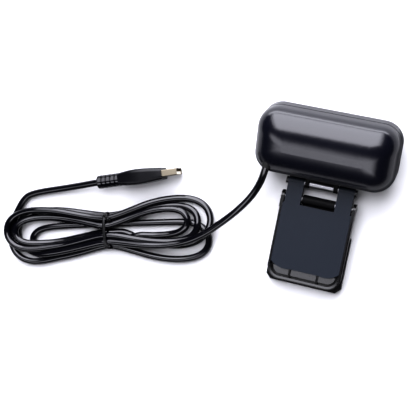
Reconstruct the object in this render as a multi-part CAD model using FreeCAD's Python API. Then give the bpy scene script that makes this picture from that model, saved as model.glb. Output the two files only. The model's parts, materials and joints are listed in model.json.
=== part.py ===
import FreeCAD, Part
import math
import os

os.makedirs("parts", exist_ok=True)

# A webcam with a folding two-leg monitor clip, a wound cable and a USB plug, resting on a table.
# Units are millimetres. +X runs across the webcam, +Y towards the top of its head, +Z up.
# The origin is the centre of the flat outer face of the front leg, which lies on the table.

# ---- driving dimensions -------------------------------------------------------------------

HEAD_W = 93.2           # camera head: width, height, depth behind and in front of the seam
HEAD_H = 44.3
REAR_DEPTH = 22.5
FRONT_DEPTH = 10.0
CORNER_SHARE = 0.6      # corner radius of the head's outline, as a share of its half height
WALL = 2.0
FRONT_EDGE_R = 4.0
SEAM_GAP = 0.8          # shadow groove between the two shells
HEAD_TILT = 20.0        # degrees between the head's height axis and the table
HEAD_FROM_PIN = 27.1    # from the tilt pin to the middle of the head, along Y

PIN_Y = 46.0            # tilt pin, from the origin
PIN_Z = 8.6
PIN_R = 1.5
PIN_HALF = 23.4
RUN_FIT = 0.05          # radial clearance of a turning fit
JOINT_GAP = 0.3         # clearance between bodies that are not a fit

ARM_IN = 11.6           # the two arms of the rear leg, inner and outer face
ARM_OUT = 22.3
HUB_R = 2.8
CHEEK_IN = 8.3          # the two cheeks of the head's neck
CHEEK_OUT = 10.9

LEG_HALF = 25.0         # rear leg tray
TRAY_LOW = 5.6
TRAY_TOP = 11.2
TRAY_FLOOR = 1.2
TRAY_WALL = 2.2
SIDE_WALL = 1.5
TRAY_EDGE = 0.8         # chamfer along the tray's outer edge
RIM_FALL = 0.35         # how far the wall's top falls inwards round the free end
GROOVE_W = 1.6          # groove between the tray's wall and the pockets' raised floor
TRAY_START = -15.6      # Y from the tilt pin
TRAY_END = -66.6
TRAY_CORNER_R = 9.0
COVER_T = 1.8
COVER_EDGE = -58.4
COVER_CORNER_W = 13.0
COVER_CORNER_RISE = 3.6
COVER_HALF = 23.3
RIB_X = 9.4
RIB_T = 1.2
POCKET_RISE = 1.2

JAW_Y = -11.0           # jaw pin, from the tilt pin
JAW_Z = 7.0
JAW_PIN_R = 1.3
JAW_PIN_HALF = 24.4
KNUCKLE_R = 3.2
LUG_R = 4.0
LUG_IN = 23.2

FRONT_T = 5.2           # front leg
FRONT_HALF = 25.6
FRONT_END = -68.1
FRONT_NECK_HALF = 10.8
FRONT_CORNER = 3.2

CORD_D = 4.8
GLAND_AT = (-35.5, -13.7, 16.6)     # in the head's own axes
GLAND_DIR = (-0.12, -0.97, 0.2)
GLAND_R = 3.3
GLAND_LEN = 6.0
GLAND_INSIDE = 3.0      # how far the gland and its collar reach inwards from GLAND_AT
COLLAR_INSIDE = 4.4
COLLAR_R = 4.0
COLLAR_T = 1.4

PLUG_AT = (-156.1, -29.8)           # start of the plug's strain relief, from the tilt pin
PLUG_TURN = 19.1                    # degrees from +X
PLUG_Z = 8.0
RELIEF_LEN = 16.4
RELIEF_R = 4.7
RELIEF_GROOVES = 4
RELIEF_PITCH = 3.3
RELIEF_CUT = 1.3
OVERMOLD_LEN = 32.8
SHELL_OUT = 11.0
SHELL_W = 12.0
SHELL_T = 4.5

HANK_AT = (-143.8, -62.1)           # middle of the wound cable, from the tilt pin
HANK_TURN = 16.0
HANK_T = 9.9
TIE_W = 2.4
TIE_T = 0.7
TIE_HALF = 12.6         # half the tied bundle's width

# ---- the head's height above the table follows from its tilt -------------------------------

TILT = math.radians(HEAD_TILT)
EDGE_UP = HEAD_H / 2 - FRONT_EDGE_R
HEAD_Z = FRONT_EDGE_R + EDGE_UP * math.sin(TILT) + (FRONT_DEPTH - FRONT_EDGE_R) * math.cos(TILT)
HEAD_Y = PIN_Y + HEAD_FROM_PIN

V = FreeCAD.Vector
HEAD_PLACE = FreeCAD.Placement(V(0, HEAD_Y, HEAD_Z), FreeCAD.Rotation(V(1, 0, 0), HEAD_TILT))

# the tilt pin in the head's own axes: X across, Y up the head, Z out of its back
PIN_IN_HEAD = HEAD_PLACE.inverse().multVec(V(0, PIN_Y, PIN_Z))

nodes = {}


# ---- small helpers -------------------------------------------------------------------------

def box(x0, x1, y0, y1, z0, z1):
    return Part.makeBox(x1 - x0, y1 - y0, z1 - z0, V(x0, y0, z0))


def rod(radius, start, end):
    """A cylinder between two points."""
    a = V(*start)
    b = V(*end)
    return Part.makeCylinder(radius, (b - a).Length, a, b - a)


def tube(outer, inner, start, end):
    return rod(outer, start, end).cut(rod(inner, start, end))


def join(shapes):
    """One solid from shapes that overlap."""
    whole = shapes[0]
    for shape in shapes[1:]:
        whole = whole.fuse(shape)
    return whole.removeSplitter()


def group(shapes):
    """Separate solids kept together in one node."""
    return Part.makeCompound(shapes)


def outline(half_w, half_h, z, radius=None):
    """A rounded rectangle in a plane of constant Z."""
    r = CORNER_SHARE * half_h if radius is None else radius
    k = r * math.sqrt(0.5)
    edges = []
    for sx, sy in ((1, 1), (-1, 1), (-1, -1), (1, -1)):
        cx = sx * (half_w - r)
        cy = sy * (half_h - r)
        side = V(sx * half_w, cy, z)
        end = V(cx, sy * half_h, z)
        middle = V(cx + sx * k, cy + sy * k, z)
        first, last = (side, end) if sx * sy > 0 else (end, side)
        edges.append(Part.Arc(first, middle, last).toShape())
    wire = []
    for i, edge in enumerate(edges):
        wire.append(edge)
        after = edges[(i + 1) % len(edges)]
        wire.append(Part.LineSegment(edge.Vertexes[-1].Point, after.Vertexes[0].Point).toShape())
    return Part.Wire(wire)


def head_prism(inset, z0, z1):
    wire = outline(HEAD_W / 2 - inset, HEAD_H / 2 - inset, z0)
    return Part.Face(wire).extrude(V(0, 0, z1 - z0))


def head_loft(stations):
    wires = [outline(HEAD_W / 2 - inset, HEAD_H / 2 - inset, z) for inset, z in stations]
    return Part.makeLoft(wires, True, False)


def in_head(shape):
    shape = shape.copy()
    shape.Placement = HEAD_PLACE.multiply(shape.Placement)
    return shape


def at_pin(shape):
    """Moves a leg shape, drawn with Y from the tilt pin, into the part's frame."""
    shape = shape.copy()
    shape.Placement = FreeCAD.Placement(V(0, PIN_Y, 0), FreeCAD.Rotation()).multiply(shape.Placement)
    return shape


def both_sides(make):
    return [make(-1), make(1)]


def screw(at, out, head_r, head_h, shank_r, length):
    """A pan-head screw; at is under its head, out points from the shank to the head."""
    a = V(*at)
    n = V(*out).normalize()
    head = Part.makeCylinder(head_r, head_h, a, n)
    shank = Part.makeCylinder(shank_r, length, a - n * length, n)
    whole = head.fuse(shank).removeSplitter()
    side = V(1, 0, 0) if abs(n.x) < 0.5 else V(0, 1, 0)
    for turn in (0, 90):
        slot = Part.makeBox(head_r * 1.1, head_r * 0.28, head_h * 0.5)
        slot.translate(V(-head_r * 0.55, -head_r * 0.14, 0))
        slot.rotate(V(0, 0, 0), V(0, 0, 1), turn)
        slot.Placement = FreeCAD.Placement(
            a + n * (head_h * 0.5), FreeCAD.Rotation(side, side.cross(n), n, "ZXY")
        ).multiply(slot.Placement)
        whole = whole.cut(slot)
    return whole


# ---- the camera head ------------------------------------------------------------------------

BOSSES = [(-34.0, 10.4), (34.0, 10.4), (-22.0, -11.8), (22.0, -11.8)]
BOSS_R = 2.8
BOSS_BORE = 0.9
POSTS = [(-27.0, 9.0), (27.0, 9.0), (-27.0, -9.0), (27.0, -9.0)]
NECK_HOLES = [-7.0, 7.0]
NECK_SCREW_Z = 8.4
BOARD_LOW = -0.6
BOARD_TOP = 0.6
WINDOW_INSET = 6.5
WINDOW_T = 1.0
LENS_HOLE = 8.5
LED_X = 17.0
MIC_X = -17.0

CROWN_START = 4.0       # the rear shell's sides are straight up to here
CROWN_POWER = 2.5
CROWN_STATIONS = 9
CROWN_SWEEP = 86.0      # degrees of the last section; the crest above it is flat


def crown(inset, top, start):
    """Sections of the domed back, from its straight side to its crest: inset and depth."""
    reach = HEAD_H / 2 - inset
    stations = [(inset, start), (inset, CROWN_START)]
    for k in range(1, CROWN_STATIONS + 1):
        angle = math.radians(CROWN_SWEEP) * k / CROWN_STATIONS
        height = reach * math.cos(angle) ** (2 / CROWN_POWER)
        depth = CROWN_START + (top - CROWN_START) * math.sin(angle) ** (2 / CROWN_POWER)
        stations.append((HEAD_H / 2 - height, depth))
    return stations


OUTER_CROWN = crown(0.0, REAR_DEPTH, SEAM_GAP)
INNER_CROWN = crown(WALL, REAR_DEPTH - WALL, -0.5)


def gland_axis():
    return V(*GLAND_AT), V(*GLAND_DIR).normalize()


def rear_shell():
    outer = head_loft(OUTER_CROWN)
    shell = outer.cut(head_loft(INNER_CROWN))
    # screw bosses run to the back wall
    for x, y in BOSSES:
        boss = rod(BOSS_R, (x, y, 2.2), (x, y, REAR_DEPTH)).common(outer)
        shell = shell.fuse(boss)
    at, out = gland_axis()
    seat = Part.makeCylinder(GLAND_R + 1.6, 9.0, at - out * 2.5, out).common(outer)
    shell = shell.fuse(seat)
    for x, y in BOSSES:
        shell = shell.cut(rod(BOSS_BORE, (x, y, 0), (x, y, 12.0)))
    # recess for the cable gland, open at the lower corner, and room for its collar
    shell = shell.cut(Part.makeCylinder(GLAND_R + 0.05, 30.0, at - out * 12.0, out))
    shell = shell.cut(Part.makeCylinder(COLLAR_R + 0.05, COLLAR_T + 0.1,
                                        at - out * (COLLAR_INSIDE + 0.05), out))
    # step that takes the front shell's lip
    shell = shell.cut(head_prism(0.8, -1.0, 1.7).cut(head_prism(WALL + 0.4, -1.0, 1.7)))
    # slot for the neck, and holes for its screws
    shell = shell.cut(box(-CHEEK_OUT - 0.1, CHEEK_OUT + 0.1, -HEAD_H / 2 - 1, -HEAD_H / 2 + WALL + 1,
                          -1, PIN_IN_HEAD.z + HUB_R + 0.1))
    for x in NECK_HOLES:
        shell = shell.cut(rod(0.85, (x, -HEAD_H / 2 - 1, NECK_SCREW_Z),
                              (x, -HEAD_H / 2 + WALL + 1, NECK_SCREW_Z)))
    return shell.removeSplitter()


def front_shell():
    body = head_prism(0.0, -FRONT_DEPTH, 0.0)
    edges = [e for e in body.Edges if e.BoundBox.ZMax < -FRONT_DEPTH + 0.01]
    body = body.makeFillet(FRONT_EDGE_R, edges)
    body = body.cut(head_prism(WALL, -FRONT_DEPTH + WALL, 1.0))
    # lip that centres the rear shell
    body = body.fuse(head_prism(0.9, -1.0, 1.5).cut(head_prism(WALL, -1.5, 2.0)))
    for x, y in POSTS:
        body = body.fuse(rod(2.4, (x, y, -FRONT_DEPTH + WALL), (x, y, BOARD_LOW)))
    for x, y in BOSSES:
        body = body.fuse(rod(BOSS_R, (x, y, -FRONT_DEPTH + WALL), (x, y, 2.1)))
    for x, y in POSTS:
        body = body.cut(rod(0.75, (x, y, -5.0), (x, y, BOARD_LOW + 1)))
    for x, y in BOSSES:
        body = body.cut(rod(1.15, (x, y, -FRONT_DEPTH - 1), (x, y, 3.0)))
        body = body.cut(rod(2.1, (x, y, -FRONT_DEPTH - 1), (x, y, -FRONT_DEPTH + 3.0)))
    # recess for the front window, and the lens, light and microphone openings
    body = body.cut(head_prism(WINDOW_INSET - 0.1, -FRONT_DEPTH - 1, -FRONT_DEPTH + WINDOW_T))
    body = body.cut(rod(LENS_HOLE - 1.0, (0, 0, -FRONT_DEPTH - 1), (0, 0, -FRONT_DEPTH + 4)))
    body = body.cut(rod(1.3, (LED_X, 0, -FRONT_DEPTH - 1), (LED_X, 0, -FRONT_DEPTH + 4)))
    body = body.cut(rod(1.0, (MIC_X, 0, -FRONT_DEPTH - 1), (MIC_X, 0, -FRONT_DEPTH + 4)))
    # the neck leaves through the rear shell; the lip is open there
    body = body.cut(box(-CHEEK_OUT - 0.2, CHEEK_OUT + 0.2, -HEAD_H / 2 - 1, -HEAD_H / 2 + WALL + 0.6,
                        0.01, 3))
    return body.removeSplitter()


def front_window():
    window = head_prism(WINDOW_INSET, -FRONT_DEPTH, -FRONT_DEPTH + WINDOW_T)
    rim = [e for e in window.Edges if e.BoundBox.ZMax < -FRONT_DEPTH + 0.01]
    window = window.makeChamfer(0.3, rim)
    window = window.cut(rod(LENS_HOLE, (0, 0, -FRONT_DEPTH - 1), (0, 0, 0)))
    window = window.cut(rod(1.25, (LED_X, 0, -FRONT_DEPTH - 1), (LED_X, 0, 0)))
    for dx in (-1.6, 0.0, 1.6):
        window = window.cut(rod(0.45, (MIC_X + dx, 0, -FRONT_DEPTH - 1), (MIC_X + dx, 0, 0)))
    return window


def lens_ring():
    low = -FRONT_DEPTH + WINDOW_T
    ring = tube(LENS_HOLE - 0.1, 5.5, (0, 0, low - 2.4), (0, 0, low))
    lip = [e for e in ring.Edges if e.BoundBox.ZMax < low - 2.39]
    return ring.makeFillet(0.6, lip)


def lens_pieces():
    barrel = tube(5.0, 3.6, (0, 0, -9.6), (0, 0, -2.4))
    barrel = barrel.cut(rod(4.3, (0, 0, -9.7), (0, 0, -8.6)))
    elements = []
    for low, high, radius in ((-8.2, -7.2, 3.5), (-6.2, -5.0, 3.5), (-4.0, -2.8, 3.5)):
        elements.append(rod(radius, (0, 0, low), (0, 0, high)))
    holder = box(-7.0, 7.0, -7.0, 7.0, -2.6, BOARD_LOW)
    holder = holder.fuse(rod(6.4, (0, 0, -6.6), (0, 0, -2.5)))
    holder = holder.cut(rod(5.05, (0, 0, -7), (0, 0, -2.4)))
    holder = holder.cut(box(-4.2, 4.2, -4.2, 4.2, -2.5, 0))
    glass = rod(4.2, (0, 0, -9.6), (0, 0, -8.65))
    filter_glass = box(-3.0, 3.0, -3.0, 3.0, -2.3, -1.9)
    sensor = box(-3.4, 3.4, -3.2, 3.2, -1.5, BOARD_LOW)
    return {
        "lens_barrel": barrel,
        "lens_elements": group(elements),
        "lens_holder": holder.removeSplitter(),
        "lens_cover_glass": glass,
        "infrared_filter": filter_glass,
        "image_sensor": sensor,
    }


def board_pieces():
    board = box(-31.0, 31.0, -12.4, 12.4, BOARD_LOW, BOARD_TOP)
    for x, y in POSTS:
        board = board.cut(rod(1.0, (x, y, -1), (x, y, 1)))
    for x, y in BOSSES:
        board = board.cut(rod(BOSS_R + 0.3, (x, y, -1), (x, y, 1)))
    chips = [box(-6.0, 6.0, -5.5, 6.5, BOARD_TOP, BOARD_TOP + 1.2),
             box(10.0, 15.0, -3.0, 2.0, BOARD_TOP, BOARD_TOP + 1.0),
             box(11.0, 14.2, 5.0, 7.5, BOARD_TOP, BOARD_TOP + 0.9)]
    for i in range(6):
        chips.append(box(-12.0 + 4.0 * i, -10.4 + 4.0 * i, 8.6, 9.4, BOARD_TOP, BOARD_TOP + 0.6))
    for i in range(4):
        chips.append(box(-18.0 + 2.6 * i, -17.0 + 2.6 * i, 3.0, 5.0, BOARD_TOP, BOARD_TOP + 0.7))
    header = box(-24.0, -14.0, -8.6, -4.4, BOARD_TOP, BOARD_TOP + 4.4)
    header = header.cut(box(-23.0, -15.0, -7.8, -5.2, BOARD_TOP + 1.0, BOARD_TOP + 5))
    housing = box(-22.8, -15.2, -7.6, -5.4, BOARD_TOP + 1.1, BOARD_TOP + 6.4)
    light = box(LED_X - 1.0, LED_X + 1.0, -0.6, 0.6, -1.5, BOARD_LOW)
    pipe = rod(1.2, (LED_X, 0, -FRONT_DEPTH), (LED_X, 0, -1.7))
    capsule = rod(3.0, (MIC_X, 0, -3.4), (MIC_X, 0, BOARD_LOW))
    gasket = tube(3.2, 1.6, (MIC_X, 0, -FRONT_DEPTH + WALL), (MIC_X, 0, -3.5))
    screws = [screw((x, y, BOARD_TOP), (0, 0, 1), 1.7, 1.2, 0.74, 4.6) for x, y in POSTS]
    return {
        "main_board": board,
        "board_components": group(chips),
        "cable_header": header,
        "cable_connector": housing,
        "status_light": light,
        "light_pipe": pipe,
        "microphone": capsule,
        "microphone_gasket": gasket,
        "board_screws": group(screws),
    }


def case_screws():
    under = -FRONT_DEPTH + 3.0
    return group([screw((x, y, under), (0, 0, -1), 1.9, 1.3, 0.88, 16.0) for x, y in BOSSES])


def neck_pieces():
    y_pin = PIN_IN_HEAD.y
    z_pin = PIN_IN_HEAD.z
    z0 = z_pin - HUB_R
    z1 = z_pin + HUB_R
    inside = -HEAD_H / 2 + WALL
    block = box(-CHEEK_OUT, CHEEK_OUT, y_pin + 3.4, inside + 1.8, z0, z1)
    flange = box(-14.0, 14.0, -HEAD_H / 2, inside + 1.8, z0, NECK_SCREW_Z + 2.6)
    block = block.fuse(flange.common(head_loft(INNER_CROWN)))
    for side in (-1, 1):
        x0, x1 = sorted((side * CHEEK_IN, side * CHEEK_OUT))
        block = block.fuse(box(x0, x1, y_pin, y_pin + 3.5, z0, z1))
        block = block.fuse(rod(HUB_R, (x0, y_pin, z_pin), (x1, y_pin, z_pin)))
    block = block.cut(rod(PIN_R + RUN_FIT, (-20, y_pin, z_pin), (20, y_pin, z_pin)))
    block = block.cut(head_prism(0.0, -FRONT_DEPTH, SEAM_GAP + 0.05))
    for x in NECK_HOLES:
        block = block.cut(rod(1.1, (x, inside - 1, NECK_SCREW_Z), (x, inside + 3, NECK_SCREW_Z)))
    screws = [screw((x, inside + 1.8, NECK_SCREW_Z), (0, 1, 0), 1.8, 1.2, 0.84, 3.2)
              for x in NECK_HOLES]
    return {"neck_block": block.removeSplitter(), "neck_screws": group(screws)}


def gland():
    """Rubber grommet that grips the cable in the rear shell's lower corner."""
    at, out = gland_axis()
    sleeve = Part.makeCylinder(GLAND_R, GLAND_LEN, at - out * GLAND_INSIDE, out)
    collar = Part.makeCylinder(COLLAR_R, COLLAR_T, at - out * COLLAR_INSIDE, out)
    body = sleeve.fuse(collar)
    return body.cut(Part.makeCylinder(CORD_D / 2, 30.0, at - out * 15.0, out)).removeSplitter()


# ---- cable routes ----------------------------------------------------------------------------

def route_edges(points, name, diameter):
    """Straight runs joined by tangent arcs, as large as the runs allow."""
    pts = [V(*p) for p in points]
    edges = []
    last = pts[0]
    radii = []
    for i in range(1, len(pts) - 1):
        into = pts[i] - pts[i - 1]
        away = pts[i + 1] - pts[i]
        turn = into.getAngle(away)
        trim = 0.45 * min(into.Length, away.Length)
        radii.append(trim / math.tan(turn / 2))
        a = pts[i] - into.normalize() * trim
        b = pts[i] + away.normalize() * trim
        bisector = (a + b) * 0.5 - pts[i]
        sagitta = radii[-1] / math.cos(turn / 2) - radii[-1]
        middle = pts[i] + bisector.normalize() * sagitta
        edges.append(Part.LineSegment(last, a).toShape())
        edges.append(Part.Arc(a, middle, b).toShape())
        last = b
    edges.append(Part.LineSegment(last, pts[-1]).toShape())
    print(name, "radii in diameters:", " ".join(f"{r / diameter:.1f}" for r in radii))
    return edges


def cord_tube(points, name, diameter=CORD_D):
    path = Part.Wire(route_edges(points, name, diameter))
    start = V(*points[0])
    along = (V(*points[1]) - start).normalize()
    section = Part.Wire(Part.Circle(start, along, diameter / 2).toShape())
    pipe = path.makePipeShell([section], True, True)
    expected = math.pi * diameter ** 2 / 4 * path.Length
    print(name, f"length {path.Length:.1f} volume ratio {pipe.Volume / expected:.4f}",
          "valid" if pipe.isValid() else "INVALID")
    return pipe


def gland_exit():
    """Where the cable leaves the gland, in the part's frame."""
    at, out = gland_axis()
    return tuple(HEAD_PLACE.multVec(at + out * (GLAND_LEN - GLAND_INSIDE)))


# the stretch from the gland to the wound cable, X and Y from the tilt pin
LEAD_ROUTE = [(-38.2, -5.0, 22.0), (-43.0, -15.2, 18.0), (-49.8, -24.8, 14.8),
              (-57.6, -33.8, 12.8), (-66.0, -42.8, 11.0), (-74.2, -50.6, 8.4)]
# the stretch from the wound cable to the plug
TAIL_ROUTE = [(-215.4, -66.0, 2.5), (-215.8, -59.0, 2.5), (-212.4, -52.6, 2.5),
              (-205.6, -48.2, 2.5), (-196.6, -44.6, 2.6), (-186.4, -41.0, 3.3),
              (-176.0, -37.3, 4.8), (-165.6, -33.4, 6.6)]


def cord_lead():
    points = [gland_exit()] + [(x, y + PIN_Y, z) for x, y, z in LEAD_ROUTE]
    return cord_tube(points, "cord_lead")


def cord_tail():
    end = (PLUG_AT[0], PLUG_AT[1] + PIN_Y, PLUG_Z)
    points = [(x, y + PIN_Y, z) for x, y, z in TAIL_ROUTE] + [end]
    return cord_tube(points, "cord_tail")


def inner_lead():
    """The cable's end inside the head, from the gland to the connector on the board."""
    at, out = gland_axis()
    start = at - out * COLLAR_INSIDE
    points = [tuple(start), tuple(start - out * 5.0 + V(0.6, 0, -0.4)),
              (-30.6, 1.0, 12.4), (-23.4, -1.6, 10.0), (-19.0, -6.5, BOARD_TOP + 6.4)]
    return cord_tube(points, "inner_lead", 2.6)


def on_cord_frame(shape, at, turn, z=0.0):
    shape = shape.copy()
    place = FreeCAD.Placement(V(at[0], at[1] + PIN_Y, z), FreeCAD.Rotation(V(0, 0, 1), turn))
    shape.Placement = place.multiply(shape.Placement)
    return shape


def hank_and_tie():
    """The wound cable as one solid, wider at both ends than where the tie holds it."""
    arcs = [((-60.0, 21.0), (-30.0, 18.8), (0.0, TIE_HALF)),
            ((0.0, TIE_HALF), (29.0, 18.0), (57.0, 21.8)),
            ((57.0, 21.8), (79.8, 0.0), (55.0, -25.4)),
            ((55.0, -25.4), (27.0, -20.2), (0.0, -TIE_HALF)),
            ((0.0, -TIE_HALF), (-30.0, -16.4), (-61.0, -22.2)),
            ((-61.0, -22.2), (-82.0, -0.6), (-60.0, 21.0))]
    edges = [Part.Arc(*(V(u, v, 0) for u, v in arc)).toShape() for arc in arcs]
    hank = Part.Face(Part.Wire(edges)).extrude(V(0, 0, HANK_T))
    half = TIE_HALF
    tie = box(-TIE_W / 2, TIE_W / 2, -half - TIE_T, half + TIE_T, 0.0, HANK_T + TIE_T)
    tie = tie.cut(box(-TIE_W, TIE_W, -half, half, TIE_T, HANK_T))
    corners = [e for e in tie.Edges if abs(e.Length - TIE_W) < 0.01
               and max(e.BoundBox.YMax, -e.BoundBox.YMin) > half + 0.01]
    tie = tie.makeFillet(0.6, corners)
    twist = rod(1.1, (0, 7.0, HANK_T + TIE_T + 0.9), (-2.6, 12.4, HANK_T + TIE_T + 0.9))
    tie = tie.fuse(twist).removeSplitter()
    hank = hank.cut(box(-TIE_W / 2, TIE_W / 2, -40, 40, 0.0, HANK_T).cut(
        box(-TIE_W, TIE_W, -half, half, TIE_T, HANK_T)))
    place = (HANK_AT, HANK_TURN)
    return {"cord_hank": on_cord_frame(hank, *place), "cable_tie": on_cord_frame(tie, *place)}


# ---- the plug, standing on its narrow side ------------------------------------------------------

def rounded_bar(x0, x1, half_y, half_z, radius):
    """A bar along X with rounded long edges."""
    bar = box(x0, x1, -half_y, half_y, -half_z, half_z)
    return bar.makeFillet(radius, [e for e in bar.Edges if abs(e.Length - (x1 - x0)) < 0.01])


def plug_pieces():
    relief = rod(RELIEF_R, (0, 0, 0), (RELIEF_LEN, 0, 0))
    relief = relief.makeFillet(1.0, [e for e in relief.Edges if e.BoundBox.XMax < 0.01])
    for i in range(RELIEF_GROOVES):
        x = RELIEF_PITCH * (i + 1)
        relief = relief.cut(tube(RELIEF_R + 1, RELIEF_R - RELIEF_CUT, (x, 0, 0),
                                 (x + RELIEF_CUT, 0, 0)))
    end = RELIEF_LEN + OVERMOLD_LEN
    # grip: fuller in the middle, narrower at the mouth
    stations = [(RELIEF_LEN, 4.3, 5.4), (RELIEF_LEN + 4.0, 4.8, 6.3), (RELIEF_LEN + 9.0, 5.3, 7.2),
                (RELIEF_LEN + 20.0, 5.2, 7.6), (end - 7.0, 4.7, 7.5), (end, 4.0, 7.0)]
    wires = []
    for x, half_y, half_z in stations:
        wire = outline(half_z, half_y, 0.0, 2.4)
        wire.rotate(V(0, 0, 0), V(0, 1, 0), 90)
        wire.translate(V(x, 0, 0))
        wires.append(wire)
    grip = Part.makeLoft(wires, True, False)
    shell = rounded_bar(end - 6.5, end + SHELL_OUT, SHELL_T / 2, SHELL_W / 2, 0.5)
    hollow = rounded_bar(end - 6.5, end + SHELL_OUT, SHELL_T / 2 - 0.3, SHELL_W / 2 - 0.3, 0.3)
    shell_solid = shell
    shell = shell.cut(hollow)
    # the latch holes on both flat faces
    for z in (-2.6, 2.6):
        shell = shell.cut(box(end + 5.0, end + 7.4, -4, 4, z - 1.2, z + 1.2))
    grip = grip.cut(shell_solid.common(box(end - 6.5, end + 0.01, -9, 9, -9, 9)))
    tongue = box(end - 6.4, end + SHELL_OUT - 0.5, -SHELL_T / 2 + 0.32, -0.1,
                 -SHELL_W / 2 + 0.5, SHELL_W / 2 - 0.5)
    contacts = []
    for z in (-3.5, -1.0, 1.0, 3.5):
        contacts.append(box(end - 6.0, end + SHELL_OUT - (1.0 if abs(z) > 2 else 2.2), -0.1, 0.15,
                            z - 0.5, z + 0.5))
    return {
        "plug_strain_relief": relief,
        "plug_grip": grip,
        "plug_shell": shell,
        "plug_tongue": tongue,
        "plug_contacts": group(contacts),
    }


# ---- the clip --------------------------------------------------------------------------------

def tilt_pin_pieces():
    z = PIN_Z
    pin = rod(PIN_R, (-PIN_HALF, 0, z), (PIN_HALF, 0, z))
    sleeve = tube(2.5, PIN_R, (-CHEEK_IN + JOINT_GAP, 0, z), (CHEEK_IN - JOINT_GAP, 0, z))
    caps = both_sides(lambda s: rod(2.3, (s * ARM_OUT, 0, z), (s * (PIN_HALF + 0.6), 0, z)).cut(
        rod(PIN_R, (s * ARM_OUT, 0, z), (s * PIN_HALF, 0, z))))
    washers = both_sides(lambda s: tube(2.4, PIN_R, (s * (CHEEK_OUT + JOINT_GAP), 0, z),
                                        (s * ARM_IN, 0, z)))
    return {
        "tilt_pin": pin,
        "hinge_sleeve": sleeve,
        "pin_caps": group(caps),
        "friction_washers": group(washers),
    }


def cover_outline():
    """Plan of the flat cover: square at the top, shallow rounded corners at the bottom."""
    top = TRAY_START + 0.6
    low = COVER_EDGE
    inner = COVER_HALF - COVER_CORNER_W
    side_end = low + COVER_CORNER_RISE
    bulge = (0.3 * COVER_CORNER_W, 0.25 * COVER_CORNER_RISE)
    pts = [V(-COVER_HALF, top, 0), V(COVER_HALF, top, 0), V(COVER_HALF, side_end, 0),
           V(inner, low, 0), V(-inner, low, 0), V(-COVER_HALF, side_end, 0)]
    right_mid = V(COVER_HALF - bulge[0], low + bulge[1], 0)
    left_mid = V(-COVER_HALF + bulge[0], low + bulge[1], 0)
    edges = [Part.LineSegment(pts[0], pts[1]).toShape(),
             Part.LineSegment(pts[1], pts[2]).toShape(),
             Part.Arc(pts[2], right_mid, pts[3]).toShape(),
             Part.LineSegment(pts[3], pts[4]).toShape(),
             Part.Arc(pts[4], left_mid, pts[5]).toShape(),
             Part.LineSegment(pts[5], pts[0]).toShape()]
    return Part.Face(Part.Wire(edges))


def arm(side):
    """One arm of the rear leg: round at the tilt pin, flat on top."""
    x0, x1 = sorted((side * ARM_IN, side * ARM_OUT))
    hub = rod(HUB_R, (x0, 0, PIN_Z), (x1, 0, PIN_Z))
    low = PIN_Z - HUB_R
    high = PIN_Z + HUB_R
    bar = box(x0, x1, TRAY_START + 0.5, 0, low, high - 0.2)
    return hub.fuse(bar)


LEG_SCREWS = [(-17.0, -24.0), (17.0, -24.0), (-17.0, -48.0), (17.0, -48.0)]


def leg_cover():
    plate = cover_outline().extrude(V(0, 0, COVER_T))
    plate.translate(V(0, 0, TRAY_TOP - COVER_T))
    cover = join([plate] + both_sides(arm))
    cover = cover.cut(rod(PIN_R, (-40, 0, PIN_Z), (40, 0, PIN_Z)))
    cover = cover.cut(rod(JAW_PIN_R, (-40, JAW_Y, JAW_Z), (40, JAW_Y, JAW_Z)))
    for x, y in LEG_SCREWS:
        boss = rod(2.4, (x, y, TRAY_LOW + TRAY_FLOOR), (x, y, TRAY_TOP - COVER_T + 0.5))
        cover = cover.fuse(boss)
    for x, y in LEG_SCREWS:
        cover = cover.cut(rod(0.8, (x, y, TRAY_LOW), (x, y, TRAY_TOP - 0.8)))
    return cover.removeSplitter()


def tray_plan(inset):
    """Plan of the tray with broad round corners at its free end."""
    half = LEG_HALF - inset
    top = TRAY_START - inset
    low = TRAY_END + inset
    r = TRAY_CORNER_R - inset
    k = r * (1 - math.sqrt(0.5))
    corners = [V(-half, top, 0), V(half, top, 0), V(half, low + r, 0), V(half - r, low, 0),
               V(-half + r, low, 0), V(-half, low + r, 0)]
    edges = [Part.LineSegment(corners[0], corners[1]).toShape(),
             Part.LineSegment(corners[1], corners[2]).toShape(),
             Part.Arc(corners[2], V(half - k, low + k, 0), corners[3]).toShape(),
             Part.LineSegment(corners[3], corners[4]).toShape(),
             Part.Arc(corners[4], V(-half + k, low + k, 0), corners[5]).toShape(),
             Part.LineSegment(corners[5], corners[0]).toShape()]
    return Part.Face(Part.Wire(edges))


def tray_slab(inset, z0, z1):
    slab = tray_plan(inset).extrude(V(0, 0, z1 - z0))
    slab.translate(V(0, 0, z0))
    return slab


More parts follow.
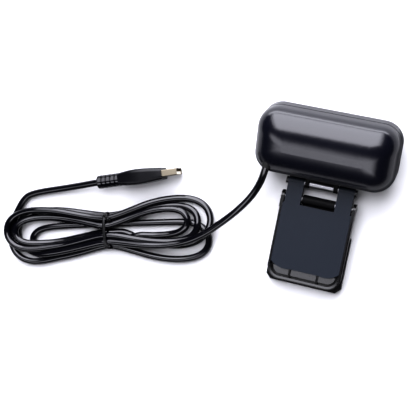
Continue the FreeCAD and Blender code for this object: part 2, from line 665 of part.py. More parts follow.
def rear_tray():
    floor_top = TRAY_LOW + TRAY_FLOOR
    tray = tray_slab(0.0, TRAY_LOW, TRAY_TOP)
    tray = tray.makeChamfer(TRAY_EDGE, [e for e in tray.Edges if e.BoundBox.ZMin > TRAY_TOP - 0.01
                                        and e.BoundBox.YMin < TRAY_START - 1])
    # the wall is thick round the free end and thin beside the cover
    hollow = tray_slab(TRAY_WALL, floor_top, TRAY_TOP + 1)
    beside = box(-LEG_HALF + SIDE_WALL, LEG_HALF - SIDE_WALL, COVER_EDGE - 0.2,
                 TRAY_START - SIDE_WALL, floor_top, TRAY_TOP + 1)
    tray = tray.cut(hollow.fuse(beside))
    # the top of the wall falls a little inwards round the free end
    rim = []
    for inset, z in ((TRAY_WALL, TRAY_TOP - RIM_FALL), (TRAY_EDGE, TRAY_TOP + 0.01)):
        wire = tray_plan(inset).OuterWire
        wire.translate(V(0, 0, z))
        rim.append(wire)
    free_end = box(-LEG_HALF, LEG_HALF, TRAY_END, COVER_EDGE - 0.2, TRAY_LOW, TRAY_TOP + 1)
    tray = tray.cut(Part.makeLoft(rim, True, True).common(free_end))
    # lugs that carry the jaw pin outside the arms
    for side in (-1, 1):
        x0, x1 = sorted((side * LUG_IN, side * (LEG_HALF + 0.2)))
        lug = rod(LUG_R, (x0, JAW_Y, JAW_Z + 0.4), (x1, JAW_Y, JAW_Z + 0.4))
        web = box(x0, x1, TRAY_START - 3.0, JAW_Y, TRAY_LOW, TRAY_TOP)
        tray = tray.fuse(lug.fuse(web))
    # ribs divide the open end into three pockets
    for x in (-RIB_X, RIB_X):
        tray = tray.fuse(box(x - RIB_T / 2, x + RIB_T / 2, TRAY_END + TRAY_WALL - 0.5, COVER_EDGE - 0.1,
                             floor_top - 0.1, TRAY_TOP - RIM_FALL))
    # the pockets' raised floor starts under the cover and rises a little towards the free end
    under_cover = TRAY_TOP - COVER_T - JOINT_GAP
    raised = Part.Face(Part.makePolygon([V(0, COVER_EDGE + 4.0, floor_top - 0.1),
                                         V(0, COVER_EDGE + 4.0, under_cover),
                                         V(0, COVER_EDGE + 0.6, under_cover),
                                         V(0, TRAY_END, under_cover + POCKET_RISE),
                                         V(0, TRAY_END, floor_top - 0.1),
                                         V(0, COVER_EDGE + 4.0, floor_top - 0.1)]))
    raised = raised.extrude(V(2 * LEG_HALF, 0, 0))
    raised.translate(V(-LEG_HALF, 0, 0))
    tray = tray.fuse(raised.common(tray_slab(TRAY_WALL + GROOVE_W, TRAY_LOW, TRAY_TOP)))
    # clearance for the arms, the jaw pin, the screws and the rubber pad
    for side in (-1, 1):
        x0, x1 = sorted((side * (ARM_IN - 0.1), side * (ARM_OUT + 0.1)))
        tray = tray.cut(box(x0, x1, TRAY_START - 0.1, 4, TRAY_LOW - 1, TRAY_TOP + 1))
    tray = tray.cut(box(-COVER_HALF - 0.05, COVER_HALF + 0.05, TRAY_START - SIDE_WALL - 0.1,
                        TRAY_START + 1, TRAY_TOP - COVER_T, TRAY_TOP + 1))
    tray = tray.cut(rod(JAW_PIN_R, (-JAW_PIN_HALF, JAW_Y, JAW_Z), (JAW_PIN_HALF, JAW_Y, JAW_Z)))
    for x, y in LEG_SCREWS:
        tray = tray.cut(rod(1.1, (x, y, TRAY_LOW - 1), (x, y, TRAY_TOP)))
        tray = tray.cut(rod(2.0, (x, y, TRAY_LOW - 1), (x, y, TRAY_LOW + 0.7)))
    tray = tray.cut(box(-20.0, 20.0, -42.0, -30.0, TRAY_LOW - 1, TRAY_LOW + 0.6))
    return tray.removeSplitter()


def rear_pad():
    return box(-19.9, 19.9, -41.9, -30.1, TRAY_LOW - 0.1, TRAY_LOW + 0.6)


def leg_screws():
    return group([screw((x, y, TRAY_LOW + 0.7), (0, 0, -1), 1.9, 0.6, 0.78, 3.4)
                  for x, y in LEG_SCREWS])


def jaw_pin_pieces():
    pin = rod(JAW_PIN_R, (-JAW_PIN_HALF, JAW_Y, JAW_Z), (JAW_PIN_HALF, JAW_Y, JAW_Z))
    inner = FRONT_NECK_HALF + JOINT_GAP
    washers = both_sides(lambda s: tube(2.3, JAW_PIN_R, (s * inner, JAW_Y, JAW_Z),
                                        (s * ARM_IN, JAW_Y, JAW_Z)))
    return {"jaw_pin": pin, "jaw_washers": group(washers)}


def front_leg_plan():
    neck = FRONT_NECK_HALF
    full = FRONT_HALF
    return [V(-neck, JAW_Y, 0), V(neck, JAW_Y, 0), V(neck, -19.0, 0), V(full, -31.0, 0),
            V(full, FRONT_END + FRONT_CORNER, 0), V(full - FRONT_CORNER, FRONT_END, 0),
            V(-full + FRONT_CORNER, FRONT_END, 0), V(-full, FRONT_END + FRONT_CORNER, 0),
            V(-full, -31.0, 0), V(-neck, -19.0, 0), V(-neck, JAW_Y, 0)]


def front_leg():
    neck = FRONT_NECK_HALF
    plate = Part.Face(Part.makePolygon(front_leg_plan())).extrude(V(0, 0, FRONT_T))
    outer = [e for e in plate.Edges if e.BoundBox.ZMax < 0.01 and e.BoundBox.YMax < JAW_Y - 0.5]
    plate = plate.makeChamfer(0.7, outer)
    # the knuckle round the jaw pin; it swings clear of the tray's end
    knuckle = rod(KNUCKLE_R, (-neck, JAW_Y, JAW_Z), (neck, JAW_Y, JAW_Z))
    web = box(-neck, neck, JAW_Y - KNUCKLE_R, JAW_Y + 1.6, 1.0, JAW_Z)
    leg = plate.fuse(knuckle.fuse(web))
    leg = leg.cut(box(-neck - 1, neck + 1, JAW_Y + 0.6, JAW_Y + 9, -1, JAW_Z - KNUCKLE_R + 0.6))
    leg = leg.cut(rod(JAW_PIN_R + RUN_FIT, (-40, JAW_Y, JAW_Z), (40, JAW_Y, JAW_Z)))
    # shallow recess for the gripping pad on the face that meets the screen
    leg = leg.cut(box(-20.0, 20.0, -62.0, -47.0, FRONT_T - 0.8, FRONT_T + 1))
    return leg.removeSplitter()


def front_pad():
    return box(-19.9, 19.9, -61.9, -47.1, FRONT_T - 0.8, FRONT_T + 0.1)


# ---- build and write ---------------------------------------------------------------------------

for name, shape in lens_pieces().items():
    nodes[name] = in_head(shape)
for name, shape in board_pieces().items():
    nodes[name] = in_head(shape)
for name, shape in neck_pieces().items():
    nodes[name] = in_head(shape)
nodes["rear_shell"] = in_head(rear_shell())
nodes["front_shell"] = in_head(front_shell())
nodes["front_window"] = in_head(front_window())
nodes["lens_ring"] = in_head(lens_ring())
nodes["case_screws"] = in_head(case_screws())
nodes["cable_gland"] = in_head(gland())
nodes["inner_lead"] = in_head(inner_lead())

nodes["cord_lead"] = cord_lead()
nodes["cord_tail"] = cord_tail()
nodes.update(hank_and_tie())
for name, shape in plug_pieces().items():
    nodes[name] = on_cord_frame(shape, PLUG_AT, PLUG_TURN, PLUG_Z)

leg_pieces = {}
leg_pieces.update(tilt_pin_pieces())
leg_pieces.update(jaw_pin_pieces())
leg_pieces["leg_cover"] = leg_cover()
leg_pieces["rear_leg_tray"] = rear_tray()
leg_pieces["rear_leg_pad"] = rear_pad()
leg_pieces["leg_screws"] = leg_screws()
leg_pieces["front_leg"] = front_leg()
leg_pieces["front_leg_pad"] = front_pad()
for name, shape in leg_pieces.items():
    nodes[name] = at_pin(shape)

for name, shape in sorted(nodes.items()):
    shape.exportStep(f"parts/{name}.step")
    b = shape.BoundBox
    print(f"{name:20s} solids {len(shape.Solids):2d} valid {shape.isValid()} volume {shape.Volume:9.1f}"
          f" x {b.XMin:.1f}..{b.XMax:.1f} y {b.YMin:.1f}..{b.YMax:.1f} z {b.ZMin:.2f}..{b.ZMax:.2f}")
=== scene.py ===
import json
import math

import bmesh
import bpy
import numpy as np
from mathutils import Matrix, Vector


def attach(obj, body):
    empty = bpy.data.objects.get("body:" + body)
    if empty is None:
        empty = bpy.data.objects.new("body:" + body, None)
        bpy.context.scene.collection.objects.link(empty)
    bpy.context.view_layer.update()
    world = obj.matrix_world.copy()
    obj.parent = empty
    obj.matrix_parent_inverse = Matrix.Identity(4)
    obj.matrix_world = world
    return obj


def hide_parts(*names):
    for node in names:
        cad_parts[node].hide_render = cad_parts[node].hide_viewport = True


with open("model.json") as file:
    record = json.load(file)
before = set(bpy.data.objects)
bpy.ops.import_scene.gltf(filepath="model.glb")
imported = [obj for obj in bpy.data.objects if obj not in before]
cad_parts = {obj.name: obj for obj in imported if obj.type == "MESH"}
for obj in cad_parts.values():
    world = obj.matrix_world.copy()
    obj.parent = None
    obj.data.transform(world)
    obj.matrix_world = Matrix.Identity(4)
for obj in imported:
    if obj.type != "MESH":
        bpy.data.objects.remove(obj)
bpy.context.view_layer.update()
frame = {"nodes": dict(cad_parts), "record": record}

# A webcam on a folded monitor clip, with its cable wound in a tied hank, lying on a pale table.
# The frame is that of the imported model: +X across the webcam, +Y towards the top of its head,
# +Z up. The camera and the lights are placed in metres, the cable and its tie in millimetres.

NODES = frame["nodes"]
SLOT_OF = {s["node"]: s["material_slot"] for s in frame["record"]["subparts"]}
MM = 0.001


# ---- camera ------------------------------------------------------------------------------------

CAMERA_AIM = Vector((-0.0760, 0.0147, 0.0))
CAMERA_BACK = Vector((0.2585, 0.0888, 0.9619)).normalized()
CAMERA_DISTANCE = 0.672
CAMERA_ROLL = math.radians(12.6)
CAMERA_LENS = 83.9
CAMERA_NEAR = 0.01


def add_camera():
    """Looks down on the table, rolled so that the webcam's right end is lower in the frame."""
    across = Vector((1, 0, 0))
    across = (across - CAMERA_BACK * across.dot(CAMERA_BACK)).normalized()
    along = CAMERA_BACK.cross(across)
    right = across * math.cos(CAMERA_ROLL) + along * math.sin(CAMERA_ROLL)
    up = CAMERA_BACK.cross(right)
    data = bpy.data.cameras.new("camera")
    data.lens = CAMERA_LENS
    data.clip_start = CAMERA_NEAR
    camera = bpy.data.objects.new("camera", data)
    bpy.context.scene.collection.objects.link(camera)
    turn = Matrix((right, up, CAMERA_BACK)).transposed().to_4x4()
    camera.matrix_world = Matrix.Translation(CAMERA_AIM + CAMERA_BACK * CAMERA_DISTANCE) @ turn
    bpy.context.scene.camera = camera


# ---- the cable's route ---------------------------------------------------------------------------

CORD_D = 4.8
PIN_Y = 46.0            # from the origin to the tilt pin

# listed stretches, X and Y from the tilt pin: from the gland over the wound cable,
# and from the wound cable to the plug
LEAD_ROUTE = [(-38.2, -5.0, 22.0), (-43.0, -15.2, 18.0), (-49.8, -24.8, 14.8), (-57.6, -33.8, 12.8),
              (-66.0, -42.8, 12.4), (-75.0, -50.9, 12.0), (-85.0, -57.4, 10.8), (-96.0, -62.0, 9.2),
              (-108.0, -64.6, 8.0), (-122.0, -65.4, 7.5)]
TAIL_ROUTE = [(-215.4, -66.0, 2.5), (-215.8, -59.0, 2.5), (-212.4, -52.6, 2.5), (-205.6, -48.2, 2.5),
              (-196.6, -44.6, 2.6), (-186.4, -41.0, 3.3), (-176.0, -37.3, 4.8), (-165.6, -33.4, 6.6)]
PLUG_AT = (-156.1, -29.8, 8.0)
GLAND_OUT = (-35.86, 5.6, 26.33)
GLAND_WAY = (-0.12, -0.982, -0.144)
INSIDE_GLAND = 7.0
LEAD_FREE = 4           # the lead's points before this one aren't settled
LEAD_HELD = 6           # and up to this one they are held while the turns settle
TAIL_HELD = 1           # the tail is held from this point on; the one before is inside the hank

# the wound cable has its own axes: U along it, V across it
HANK_AT = (-143.8, -62.1)
HANK_TURN = math.radians(16.0)
LAYER_LOW = 3.1
LAYER_HIGH = 7.4
TIE_PITCH = 2.46        # half the spacing of neighbours under the tie, so that layers interleave
TIE_GRIP = 4.5          # half the length of the stretch that the tie holds still

# Each end loop: its side, its reach, where it leaves the tie, how far out it goes in and out,
# where it comes back to the tie, and its height going in, at its tip and going out. A place at
# the tie is a number of half spacings across, and whether it is in the upper layer.
LOOPS = [
    (-1, 73, (-3, 1), -13.5, 18.0, (4, 0), (7, 5, 3)),
    (+1, 70, (4, 0), 15.0, -11.5, (-1, 1), (4, 7, 7)),
    (-1, 80, (-1, 1), -10.5, 18.5, (3, 1), (7, 12, 9)),
    (+1, 78, (3, 1), 20.0, -14.0, (0, 0), (9, 8, 2)),
    (-1, 74, (0, 0), -7.0, 13.0, (1, 1), (6, 9, 9)),
    (+1, 63, (1, 1), 13.5, -6.0, (-2, 0), (8, 8, 4)),
    (-1, 63, (-2, 0), -14.0, 5.5, (2, 0), (2, 2, 2)),
    (+1, 76, (2, 0), 3.0, -24.0, (-4, 0), (2, 2, 2)),
]
# one flank of a loop: share of its reach, share of its half width; then the same for its round
# end, where the first share is of the half width and counts back from the tip
FLANK = ((0.22, 0.38), (0.45, 0.84), (0.66, 1.0))
ROUND_END = ((1.0, 1.0), (0.235, 0.765))
FLANK_FROM_TIE = 2      # the first points of a flank widen from its place at the tie
TIP_BEYOND = 0.08       # of the half width, because the curve passes inside its points
# the last half loop, under the others, from the tie round to the tail
LAST_LOOP = [(0.0, -9.8, 3.1), (-17.0, -12.4, 2.4), (-34.0, -15.2, 2.4), (-50.0, -19.6, 2.4),
             (-63.0, -20.6, 2.4), (-73.0, -16.8, 2.4), (-78.2, -8.8, 2.4), (-78.6, 0.6, 2.4),
             (-75.6, 9.6, 2.4)]
SPACING = 5.0           # of the points along the cable
CURVE_STEPS = 12        # between two control points, when the points are spaced evenly

SETTLE_ROUNDS = 400
FIRST_RIVAL = 5         # points closer than this along the cable don't push each other
SIDE_PUSH = 0.55        # turns that overlap part more upwards than sideways
SINK = 0.03             # fall in each round
HOMING = 0.04           # pull towards where the turn was drawn, in plan
SMOOTH_PLAN = 0.12
SMOOTH_HEIGHT = 0.35
TINY = 1e-6             # keeps two points in one place from dividing by zero


def to_hank(point):
    """A point from the tilt pin to a point in the hank's axes."""
    c, s = math.cos(HANK_TURN), math.sin(HANK_TURN)
    x, y = point[0] - HANK_AT[0], point[1] - HANK_AT[1]
    return (x * c + y * s, -x * s + y * c, point[2])


def from_hank(points):
    """Points in the hank's axes to points from the tilt pin."""
    c, s = math.cos(HANK_TURN), math.sin(HANK_TURN)
    u, v, z = points[:, 0], points[:, 1], points[:, 2]
    x = HANK_AT[0] + u * c - v * s
    y = HANK_AT[1] + u * s + v * c
    return np.column_stack([x, y, z])


def tie_point(slot):
    """Where a strand passes under the tie."""
    across, upper = slot
    return (0.0, across * TIE_PITCH, LAYER_HIGH if upper else LAYER_LOW)


def loop_points(side, reach, slot_in, out_in, out_back, slot_back, heights):
    """The control points of one end loop, from the tie and back to it."""
    middle = (out_in + out_back) / 2
    half_w = abs(out_in - out_back) / 2
    up_in, up_tip, up_back = heights
    away = [reach * share for share, _ in FLANK] + [reach - half_w * back for back, _ in ROUND_END]
    wide = [share for _, share in FLANK + ROUND_END]

    def flank(slot, out, height):
        points = []
        for k, (u, share) in enumerate(zip(away, wide)):
            base = slot[0] * TIE_PITCH if k < FLANK_FROM_TIE else middle
            rise = k / (len(away) - 1)
            points.append((side * u, base + (out - base) * share,
                           height * (1 - rise) + up_tip * rise))
        return points

    points = [tie_point(slot_in)] + flank(slot_in, out_in, up_in)
    points.append((side * (reach + half_w * TIP_BEYOND), middle, up_tip))
    return points + flank(slot_back, out_back, up_back)[::-1]


def evenly(points, step):
    """Points a step apart along the smooth curve that the control points give."""
    curve = [points[0]]
    last = len(points) - 2
    for i in range(1, last + 1):
        start = points[0] if i == 1 else (points[i - 1] + points[i]) / 2
        end = points[-1] if i == last else (points[i] + points[i + 1]) / 2
        for t in np.linspace(0, 1, CURVE_STEPS)[1:]:
            curve.append((1 - t) ** 2 * start + 2 * t * (1 - t) * points[i] + t * t * end)
    curve = np.array(curve)
    along = np.concatenate([[0], np.cumsum(np.linalg.norm(np.diff(curve, axis=0), axis=1))])
    marks = np.linspace(0, along[-1], int(round(along[-1] / step)) + 1)
    return np.column_stack([np.interp(marks, along, curve[:, c]) for c in range(3)])


def settle(points, held, diameter):
    """Lets the turns sink onto the table and onto each other, a diameter apart."""
    home = points.copy()
    first, second = np.triu_indices(len(points), FIRST_RIVAL)
    for _ in range(SETTLE_ROUNDS):
        gap = points[first] - points[second]
        distance = np.linalg.norm(gap, axis=1)
        near = distance < diameter
        away = distance[near][:, None]
        push = gap[near] / np.maximum(away, TINY) * (diameter - away) / 2
        push[:, :2] *= SIDE_PUSH
        move = np.zeros_like(points)
        count = np.zeros(len(points))
        for index, sign in ((first[near], 1), (second[near], -1)):
            np.add.at(move, index, sign * push)
            np.add.at(count, index, 1)
        points = points + move / np.maximum(count, 1)[:, None]
        points[:, 2] -= SINK
        points[:, :2] += (home[:, :2] - points[:, :2]) * HOMING
        smooth = np.zeros_like(points)
        smooth[1:-1] = (points[:-2] + points[2:]) / 2 - points[1:-1]
        points[:, :2] += smooth[:, :2] * SMOOTH_PLAN
        points[:, 2] += smooth[:, 2] * SMOOTH_HEIGHT
        points[:, 2] = np.maximum(points[:, 2], diameter / 2)
        points[held] = home[held]
    return points


def nearest(points, target):
    """The index of the point nearest to a place."""
    return int(np.argmin(np.linalg.norm(points - np.array(target), axis=1)))


def cable_points():
    """The whole cable, from inside the gland to the plug, in metres."""
    lead = [to_hank(p) for p in LEAD_ROUTE]
    tail = [to_hank(p) for p in TAIL_ROUTE]
    turns = [point for loop in LOOPS for point in loop_points(*loop)]
    route = lead + turns + LAST_LOOP + tail[TAIL_HELD:]
    points = evenly(np.array(route, float), SPACING)
    held = np.abs(points[:, 0]) < TIE_GRIP
    held[:nearest(points, lead[LEAD_HELD])] = True
    held[nearest(points, tail[TAIL_HELD]):] = True
    points = settle(points, held, CORD_D)
    first = nearest(points, lead[LEAD_FREE])
    last = nearest(points, tail[TAIL_HELD])
    inside = [out - way * INSIDE_GLAND for out, way in zip(GLAND_OUT, GLAND_WAY)]
    start = [inside, GLAND_OUT] + LEAD_ROUTE[:LEAD_FREE]
    end = TAIL_ROUTE[TAIL_HELD + 1:] + [PLUG_AT]
    whole = np.vstack([start, from_hank(points[first:last]), end])
    return (whole + np.array([0.0, PIN_Y, 0.0])) * MM


def add_cable():
    """One curve for the whole cable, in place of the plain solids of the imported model."""
    points = cable_points()
    curve = bpy.data.curves.new("cable", "CURVE")
    curve.dimensions = "3D"
    spline = curve.splines.new("NURBS")
    spline.points.add(len(points) - 1)
    for target, (x, y, z) in zip(spline.points, points):
        target.co = (x, y, z, 1.0)
        target.radius = CORD_D / 2 * MM
    spline.order_u = 3
    spline.use_endpoint_u = True
    spline.resolution_u = 4
    curve.bevel_depth = 1.0     # each point's radius carries the thickness
    curve.bevel_resolution = 6
    cable = bpy.data.objects.new("cable", curve)
    bpy.context.scene.collection.objects.link(cable)
    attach(cable, "head")
    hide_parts("cord_lead", "cord_hank", "cord_tail")
    return cable


# ---- the tie round the wound cable -----------------------------------------------------------------

TIE_HALF_W = 12.9       # middle of the band, across the bundle
TIE_LOW = 0.5
TIE_HIGH = 10.3
TIE_STEPS = 72
TIE_SQUARE = (0.62, 0.5)    # powers across and up: the ring is flat on top and round at its edges
TIE_LEAN_EDGE = 1.1         # how far the band leans along the bundle at its edges
TIE_LEAN_UNDER = 0.4        # of that, below the middle
TIE_LEAN_TOP = 1.0          # and back again on top
TIE_SHIFT = 0.3             # of the whole band along the bundle

BAND = (1.15, 0.45)         # half width and half thickness of the band
BAND_SQUARE = 0.7           # power of its section's curve
BAND_SIDES = 12

# the two ends, twisted together, lie back over the top of the bundle from one edge
TWIST_START = Vector((0.6, 11.6, 11.1))
TWIST_RUN = Vector((3.4, -4.6, -0.5))
TWIST_ANGLE = 3.2 * math.pi
TWIST_R = 0.55
TWIST_SLANT = 0.35
TWIST_STEPS = 40
STRAND_R = 0.75
STRAND_SIDES = 8


def squarish(value, power):
    """A sine or cosine raised to a power below 1, so that its curve has flatter sides."""
    return math.copysign(abs(value) ** power, value)


def tie_band_path():
    """A flattened ring round the bundle that leans a little, in the hank's axes."""
    middle = (TIE_LOW + TIE_HIGH) / 2
    path = []
    for k in range(TIE_STEPS):
        angle = 2 * math.pi * k / TIE_STEPS
        c, s = math.cos(angle), math.sin(angle)
        v = TIE_HALF_W * squarish(c, TIE_SQUARE[0])
        z = middle + (TIE_HIGH - middle) * squarish(s, TIE_SQUARE[1])
        edge = TIE_LEAN_EDGE * c * c * (1 if s > 0 else TIE_LEAN_UNDER)
        path.append(Vector((edge - TIE_LEAN_TOP * max(s, 0) + TIE_SHIFT, v, z)))
    return path


def band_rings(path):
    """The band's flat section at each point of its path."""
    half_w, half_t = BAND
    rings = []
    for k, middle in enumerate(path):
        along = (path[(k + 1) % len(path)] - path[k - 1]).normalized()
        wide = Vector((1, 0, 0))
        wide = (wide - along * wide.dot(along)).normalized()
        thick = along.cross(wide)
        ring = []
        for j in range(BAND_SIDES):
            angle = 2 * math.pi * j / BAND_SIDES
            ring.append(middle + wide * (half_w * squarish(math.cos(angle), BAND_SQUARE))
                        + thick * (half_t * squarish(math.sin(angle), BAND_SQUARE)))
        rings.append(ring)
    return rings


def twist_path(phase):
    """One of the two ends, winding round the other."""
    path = []
    for k in range(TWIST_STEPS):
        t = k / (TWIST_STEPS - 1)
        angle = phase + t * TWIST_ANGLE
        c, s = math.cos(angle), math.sin(angle)
        path.append(TWIST_START + TWIST_RUN * t + Vector((c, TWIST_SLANT * c, s)) * TWIST_R)
    return path


def strand_rings(path):
    """A round section at each point of a path."""
    last = len(path) - 1
    rings = []
    for k, middle in enumerate(path):
        along = (path[min(k + 1, last)] - path[max(k - 1, 0)]).normalized()
        side = along.cross(Vector((0, 0, 1))).normalized()
        up = side.cross(along)
        angles = (2 * math.pi * j / STRAND_SIDES for j in range(STRAND_SIDES))
        rings.append([middle + (side * math.cos(a) + up * math.sin(a)) * STRAND_R for a in angles])
    return rings


def skin(bm, sections, closed):
    """Joins rings of points into a tube."""
    rings = [[bm.verts.new(point) for point in section] for section in sections]
    count = len(rings[0])
    spans = len(rings) if closed else len(rings) - 1
    for i in range(spans):
        one, two = rings[i], rings[(i + 1) % len(rings)]
        for j in range(count):
            bm.faces.new((one[j], one[(j + 1) % count], two[(j + 1) % count], two[j]))
    if not closed:
        bm.faces.new(rings[0][::-1])
        bm.faces.new(rings[-1])


def add_tie():
    """A coated band drawn tight round the bundle, its two ends twisted together at one edge."""
    bm = bmesh.new()
    skin(bm, band_rings(tie_band_path()), True)
    for phase in (0.0, math.pi):
        skin(bm, strand_rings(twist_path(phase)), False)
    turn = Matrix.Rotation(HANK_TURN, 4, "Z")
    place = Matrix.Translation(Vector((HANK_AT[0], HANK_AT[1] + PIN_Y, 0.0))) @ turn
    bm.transform(Matrix.Scale(MM, 4) @ place)
    bmesh.ops.recalc_face_normals(bm, faces=bm.faces)
    mesh = bpy.data.meshes.new("cable_tie_band")
    bm.to_mesh(mesh)
    bm.free()
    for face in mesh.polygons:
        face.use_smooth = True
    tie = bpy.data.objects.new("cable_tie_band", mesh)
    bpy.context.scene.collection.objects.link(tie)
    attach(tie, "head")
    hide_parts("cable_tie")
    return tie


add_camera()
cable = add_cable()
tie = add_tie()


# ---- materials -------------------------------------------------------------------------------------

# The head is tilted up from the table. Its out and up directions are used to tell its back and
# top, which are polished, from its side walls, which are matt.
HEAD_TILT = math.radians(20.0)
HEAD_OUT = Vector((0.0, -math.sin(HEAD_TILT), math.cos(HEAD_TILT)))
HEAD_UP = Vector((0.0, math.cos(HEAD_TILT), math.sin(HEAD_TILT)))
POLISHED_WAY = HEAD_OUT + HEAD_UP * 0.6     # mostly the back, partly the top
POLISHED_ABOVE = 0.52       # of a surface's direction along the polished way
MATT_BELOW = 0.2
MATT = 1.0

# noise textures: scale, detail and roughness
COLOUR_DRIFT = (60.0, 4.0, 0.5)
SMEARS = (140.0, 5.0, 0.6)
METAL_TONE = (200.0, 3.0, 0.5)
GLASS_TINT = (400.0, 1.0, 0.5)
TABLE_TONE = (8.0, 3.0, 0.5)
GRAIN_DETAIL = 2.0
SCRATCHES = 3000.0
SCRATCH_DEPTH = 0.000004

METAL_SHADE = 0.82          # the darkest tone, as a share of the colour
GLASS_SHADE = 0.7
COAT_ROUGHNESS = 0.05


def new_material(name):
    """A material with its nodes, its links and its shader."""
    material = bpy.data.materials.new(name)
    material.use_nodes = True
    nodes = material.node_tree.nodes
    return material, nodes, material.node_tree.links, nodes["Principled BSDF"]


def object_coordinates(nodes):
    return nodes.new("ShaderNodeTexCoord").outputs["Object"]


def noise(nodes, links, scale, detail, roughness=0.5):
    texture = nodes.new("ShaderNodeTexNoise")
    texture.inputs["Scale"].default_value = scale
    texture.inputs["Detail"].default_value = detail
    texture.inputs["Roughness"].default_value = roughness
    links.new(object_coordinates(nodes), texture.inputs["Vector"])
    return texture.outputs["Fac"]


def spread(nodes, links, value, low, high):
    """Maps a 0 to 1 value to a range."""
    node = nodes.new("ShaderNodeMapRange")
    node.inputs["To Min"].default_value = low
    node.inputs["To Max"].default_value = high
    links.new(value, node.inputs["Value"])
    return node.outputs["Result"]


def mix_colours(nodes, links, value, dark, light):
    ramp = nodes.new("ShaderNodeValToRGB")
    ramp.color_ramp.elements[0].color = (*dark, 1)
    ramp.color_ramp.elements[1].color = (*light, 1)
    links.new(value, ramp.inputs["Fac"])
    return ramp.outputs["Color"]


def bump(nodes, links, height, distance):
    node = nodes.new("ShaderNodeBump")
    node.inputs["Distance"].default_value = distance
    links.new(height, node.inputs["Height"])
    return node.outputs["Normal"]


def matt_sides(nodes, links, gloss):
    """Roughness of the head: polished on its back and top, matt where it turns down to the sides."""
    normal = nodes.new("ShaderNodeTexCoord").outputs["Normal"]
    facing = nodes.new("ShaderNodeVectorMath")
    facing.operation = "DOT_PRODUCT"
    facing.inputs[1].default_value = POLISHED_WAY
    links.new(normal, facing.inputs[0])
    steep = nodes.new("ShaderNodeMapRange")
    steep.interpolation_type = "SMOOTHSTEP"
    steep.inputs["From Min"].default_value = POLISHED_ABOVE
    steep.inputs["From Max"].default_value = MATT_BELOW
    links.new(facing.outputs["Value"], steep.inputs["Value"])
    mixed = nodes.new("ShaderNodeMix")
    links.new(steep.outputs["Result"], mixed.inputs["Factor"])
    links.new(gloss, mixed.inputs["A"])
    mixed.inputs["B"].default_value = MATT
    return mixed.outputs["Result"]


def moulded(name, dark, light, rough, grain=2500.0, grain_depth=0.000012, shine=0.5, coat=0.0,
            polished_back=False):
    """Moulded plastic or rubber: a fine grain, faint colour drift and uneven gloss."""
    material, nodes, links, shader = new_material(name)
    drift = noise(nodes, links, *COLOUR_DRIFT)
    links.new(mix_colours(nodes, links, drift, dark, light), shader.inputs["Base Color"])
    fine = noise(nodes, links, grain, GRAIN_DETAIL)
    smears = noise(nodes, links, *SMEARS)
    gloss = spread(nodes, links, smears, *rough)
    if polished_back:
        gloss = matt_sides(nodes, links, gloss)
    links.new(gloss, shader.inputs["Roughness"])
    links.new(bump(nodes, links, fine, grain_depth), shader.inputs["Normal"])
    shader.inputs["Specular IOR Level"].default_value = shine
    shader.inputs["Coat Weight"].default_value = coat
    shader.inputs["Coat Roughness"].default_value = COAT_ROUGHNESS
    return material


def metal(name, colour, rough, stretch=(1, 1, 1)):
    """Bare metal with fine marks, drawn out along the axes that the stretch makes small."""
    material, nodes, links, shader = new_material(name)
    shader.inputs["Metallic"].default_value = 1.0
    mapping = nodes.new("ShaderNodeMapping")
    mapping.inputs["Scale"].default_value = stretch
    links.new(object_coordinates(nodes), mapping.inputs["Vector"])
    texture = nodes.new("ShaderNodeTexNoise")
    texture.inputs["Scale"].default_value = SCRATCHES
    links.new(mapping.outputs["Vector"], texture.inputs["Vector"])
    tone = noise(nodes, links, *METAL_TONE)
    dark = tuple(c * METAL_SHADE for c in colour)
    links.new(mix_colours(nodes, links, tone, dark, colour), shader.inputs["Base Color"])
    links.new(spread(nodes, links, texture.outputs["Fac"], *rough), shader.inputs["Roughness"])
    links.new(bump(nodes, links, texture.outputs["Fac"], SCRATCH_DEPTH), shader.inputs["Normal"])
    return material


def glass(name, colour):
    """Coated optical glass, seen over a dark barrel."""
    material, nodes, links, shader = new_material(name)
    tint = noise(nodes, links, *GLASS_TINT)
    dark = tuple(c * GLASS_SHADE for c in colour)
    links.new(mix_colours(nodes, links, tint, dark, colour), shader.inputs["Base Color"])
    shader.inputs["Roughness"].default_value = 0.02
    shader.inputs["IOR"].default_value = 1.5
    shader.inputs["Transmission Weight"].default_value = 0.9
    shader.inputs["Coat Weight"].default_value = 1.0
    shader.inputs["Coat Tint"].default_value = (0.75, 0.7, 1.0, 1.0)
    return material


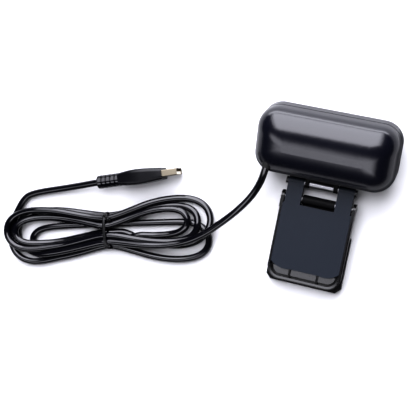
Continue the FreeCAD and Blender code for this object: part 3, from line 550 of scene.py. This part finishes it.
# One per material slot: its darkest and lightest colour, then its range of roughness. A metal or a
# glass has one colour. Grain depths are in metres.
MATERIALS = {
    "head_plastic": moulded("head_plastic", (0.0016, 0.0018, 0.0044), (0.0026, 0.0028, 0.0064),
                            (0.19, 0.24), grain_depth=0.000004, shine=0.41, polished_back=True),
    "window_plastic": moulded("window_plastic", (0.003, 0.003, 0.004), (0.005, 0.005, 0.006),
                              (0.06, 0.1), grain_depth=0.000002, coat=0.6),
    "ring_metal": metal("ring_metal", (0.62, 0.63, 0.66), (0.2, 0.3)),
    "lens_black": moulded("lens_black", (0.004, 0.004, 0.004), (0.007, 0.007, 0.007), (0.45, 0.55)),
    "lens_glass": glass("lens_glass", (0.55, 0.6, 0.8)),
    "filter_glass": glass("filter_glass", (0.5, 0.8, 0.75)),
    "chip_black": moulded("chip_black", (0.012, 0.012, 0.013), (0.02, 0.02, 0.021), (0.5, 0.6)),
    "board_green": moulded("board_green", (0.008, 0.07, 0.025), (0.012, 0.1, 0.035), (0.3, 0.4)),
    "connector_cream": moulded("connector_cream", (0.6, 0.57, 0.48), (0.68, 0.65, 0.55), (0.4, 0.5)),
    "light_clear": moulded("light_clear", (0.5, 0.6, 0.55), (0.6, 0.7, 0.65), (0.1, 0.2)),
    "soft_rubber": moulded("soft_rubber", (0.003, 0.003, 0.003), (0.006, 0.006, 0.006), (0.6, 0.75),
                           grain=1600.0, grain_depth=0.00002, shine=0.3),
    "screw_steel": metal("screw_steel", (0.5, 0.5, 0.53), (0.25, 0.4)),
    "pin_steel": metal("pin_steel", (0.24, 0.24, 0.25), (0.3, 0.4), stretch=(0.05, 1, 1)),
    "clip_black": moulded("clip_black", (0.0012, 0.0012, 0.0014), (0.0024, 0.0024, 0.0028),
                          (0.24, 0.32), grain_depth=0.000008, shine=0.3),
    "leg_black": moulded("leg_black", (0.0012, 0.0012, 0.0014), (0.0024, 0.0024, 0.0028),
                         (0.45, 0.55), shine=0.06),
    "clip_slate": moulded("clip_slate", (0.0078, 0.0106, 0.016), (0.0092, 0.0122, 0.0184),
                          (0.42, 0.5), grain_depth=0.00001, shine=0.14),
    "cable_jacket": moulded("cable_jacket", (0.0008, 0.0008, 0.0016), (0.0016, 0.0016, 0.003),
                            (0.07, 0.11), grain_depth=0.000002, shine=0.42),
    "tie_plastic": moulded("tie_plastic", (0.0008, 0.0008, 0.001), (0.002, 0.002, 0.0024),
                           (0.25, 0.35), shine=0.3),
    "plug_plastic": moulded("plug_plastic", (0.0014, 0.0014, 0.0022), (0.0028, 0.0028, 0.004),
                            (0.2, 0.27), grain_depth=0.000008, shine=0.2),
    "plug_metal": metal("plug_metal", (0.19, 0.17, 0.13), (0.3, 0.42), stretch=(1, 0.1, 1)),
    "contact_gold": metal("contact_gold", (0.9, 0.66, 0.3), (0.2, 0.3)),
}

for name, node in NODES.items():
    if not node.material_slots:
        node.data.materials.append(None)
    for material_slot in node.material_slots:
        material_slot.material = MATERIALS[SLOT_OF[name]]
cable.data.materials.append(MATERIALS["cable_jacket"])
tie.data.materials.append(MATERIALS["tie_plastic"])


# ---- table and light ---------------------------------------------------------------------------------

TABLE_HALF = 8.0
TABLE_GREYS = (0.44, 0.47)
LIT_POINT = Vector((-0.03, 0.05, 0.02))     # the lights face this point
LIGHT_COLOUR = (0.98, 0.98, 1.06)
# Each softbox: its aim, its distance, its width and height, and its radiance. A wide and a narrow
# one overlap on each side, so that a reflection fades towards its ends.
SOFTBOXES = {
    "softbox_north_narrow": ((44, -14), 1.5, 1.35, 2.5, 5.95),
    "softbox_north_wide": ((44, -14), 1.58, 2.1, 2.5, 5.95),
    "softbox_south_narrow": ((-38, 14), 1.5, 1.5, 0.3, 3.6),
    "softbox_south_wide": ((-38, 14), 1.54, 2.1, 0.44, 3.6),
    "strip_north": ((89, -8), 0.24, 0.42, 0.045, 9.0),
}
WORLD_COLOUR = (0.8, 0.8, 0.816)
WORLD_STRENGTH = 0.06
GAMMA = 0.78            # deepens the shadows and the blacks


def add_table():
    bm = bmesh.new()
    bmesh.ops.create_grid(bm, x_segments=1, y_segments=1, size=TABLE_HALF)
    mesh = bpy.data.meshes.new("table")
    bm.to_mesh(mesh)
    bm.free()
    table = bpy.data.objects.new("table", mesh)
    bpy.context.scene.collection.objects.link(table)
    material, nodes, links, shader = new_material("table")
    tone = noise(nodes, links, *TABLE_TONE)
    dark, light = ((grey, grey, grey) for grey in TABLE_GREYS)
    links.new(mix_colours(nodes, links, tone, dark, light), shader.inputs["Base Color"])
    shader.inputs["Roughness"].default_value = 0.7
    mesh.materials.append(material)


def add_softbox(name, aim, distance, width, height, radiance):
    """A rectangular light facing the webcam. Its aim is two angles in degrees: from straight up
    towards +Y, and from there towards +X."""
    tip, turn = (math.radians(angle) for angle in aim)
    out = Vector((math.sin(tip) * math.sin(turn), math.sin(tip) * math.cos(turn), math.cos(tip)))
    data = bpy.data.lights.new(name, "AREA")
    data.shape = "RECTANGLE"
    data.size = width
    data.size_y = height
    data.energy = radiance * math.pi * width * height
    data.color = LIGHT_COLOUR
    light = bpy.data.objects.new(name, data)
    bpy.context.scene.collection.objects.link(light)
    side = Vector((math.cos(turn), -math.sin(turn), 0))
    rise = out.cross(side)
    turned = Matrix((side, rise, out)).transposed().to_4x4()
    light.matrix_world = Matrix.Translation(LIT_POINT + out * distance) @ turned


def add_world():
    world = bpy.data.worlds.new("studio")
    world.use_nodes = True
    background = world.node_tree.nodes["Background"]
    background.inputs["Color"].default_value = (*WORLD_COLOUR, 1)
    background.inputs["Strength"].default_value = WORLD_STRENGTH
    bpy.context.scene.world = world


add_table()
for name, softbox in SOFTBOXES.items():
    add_softbox(name, *softbox)
add_world()
bpy.context.scene.view_settings.view_transform = "Standard"
bpy.context.scene.view_settings.gamma = GAMMA
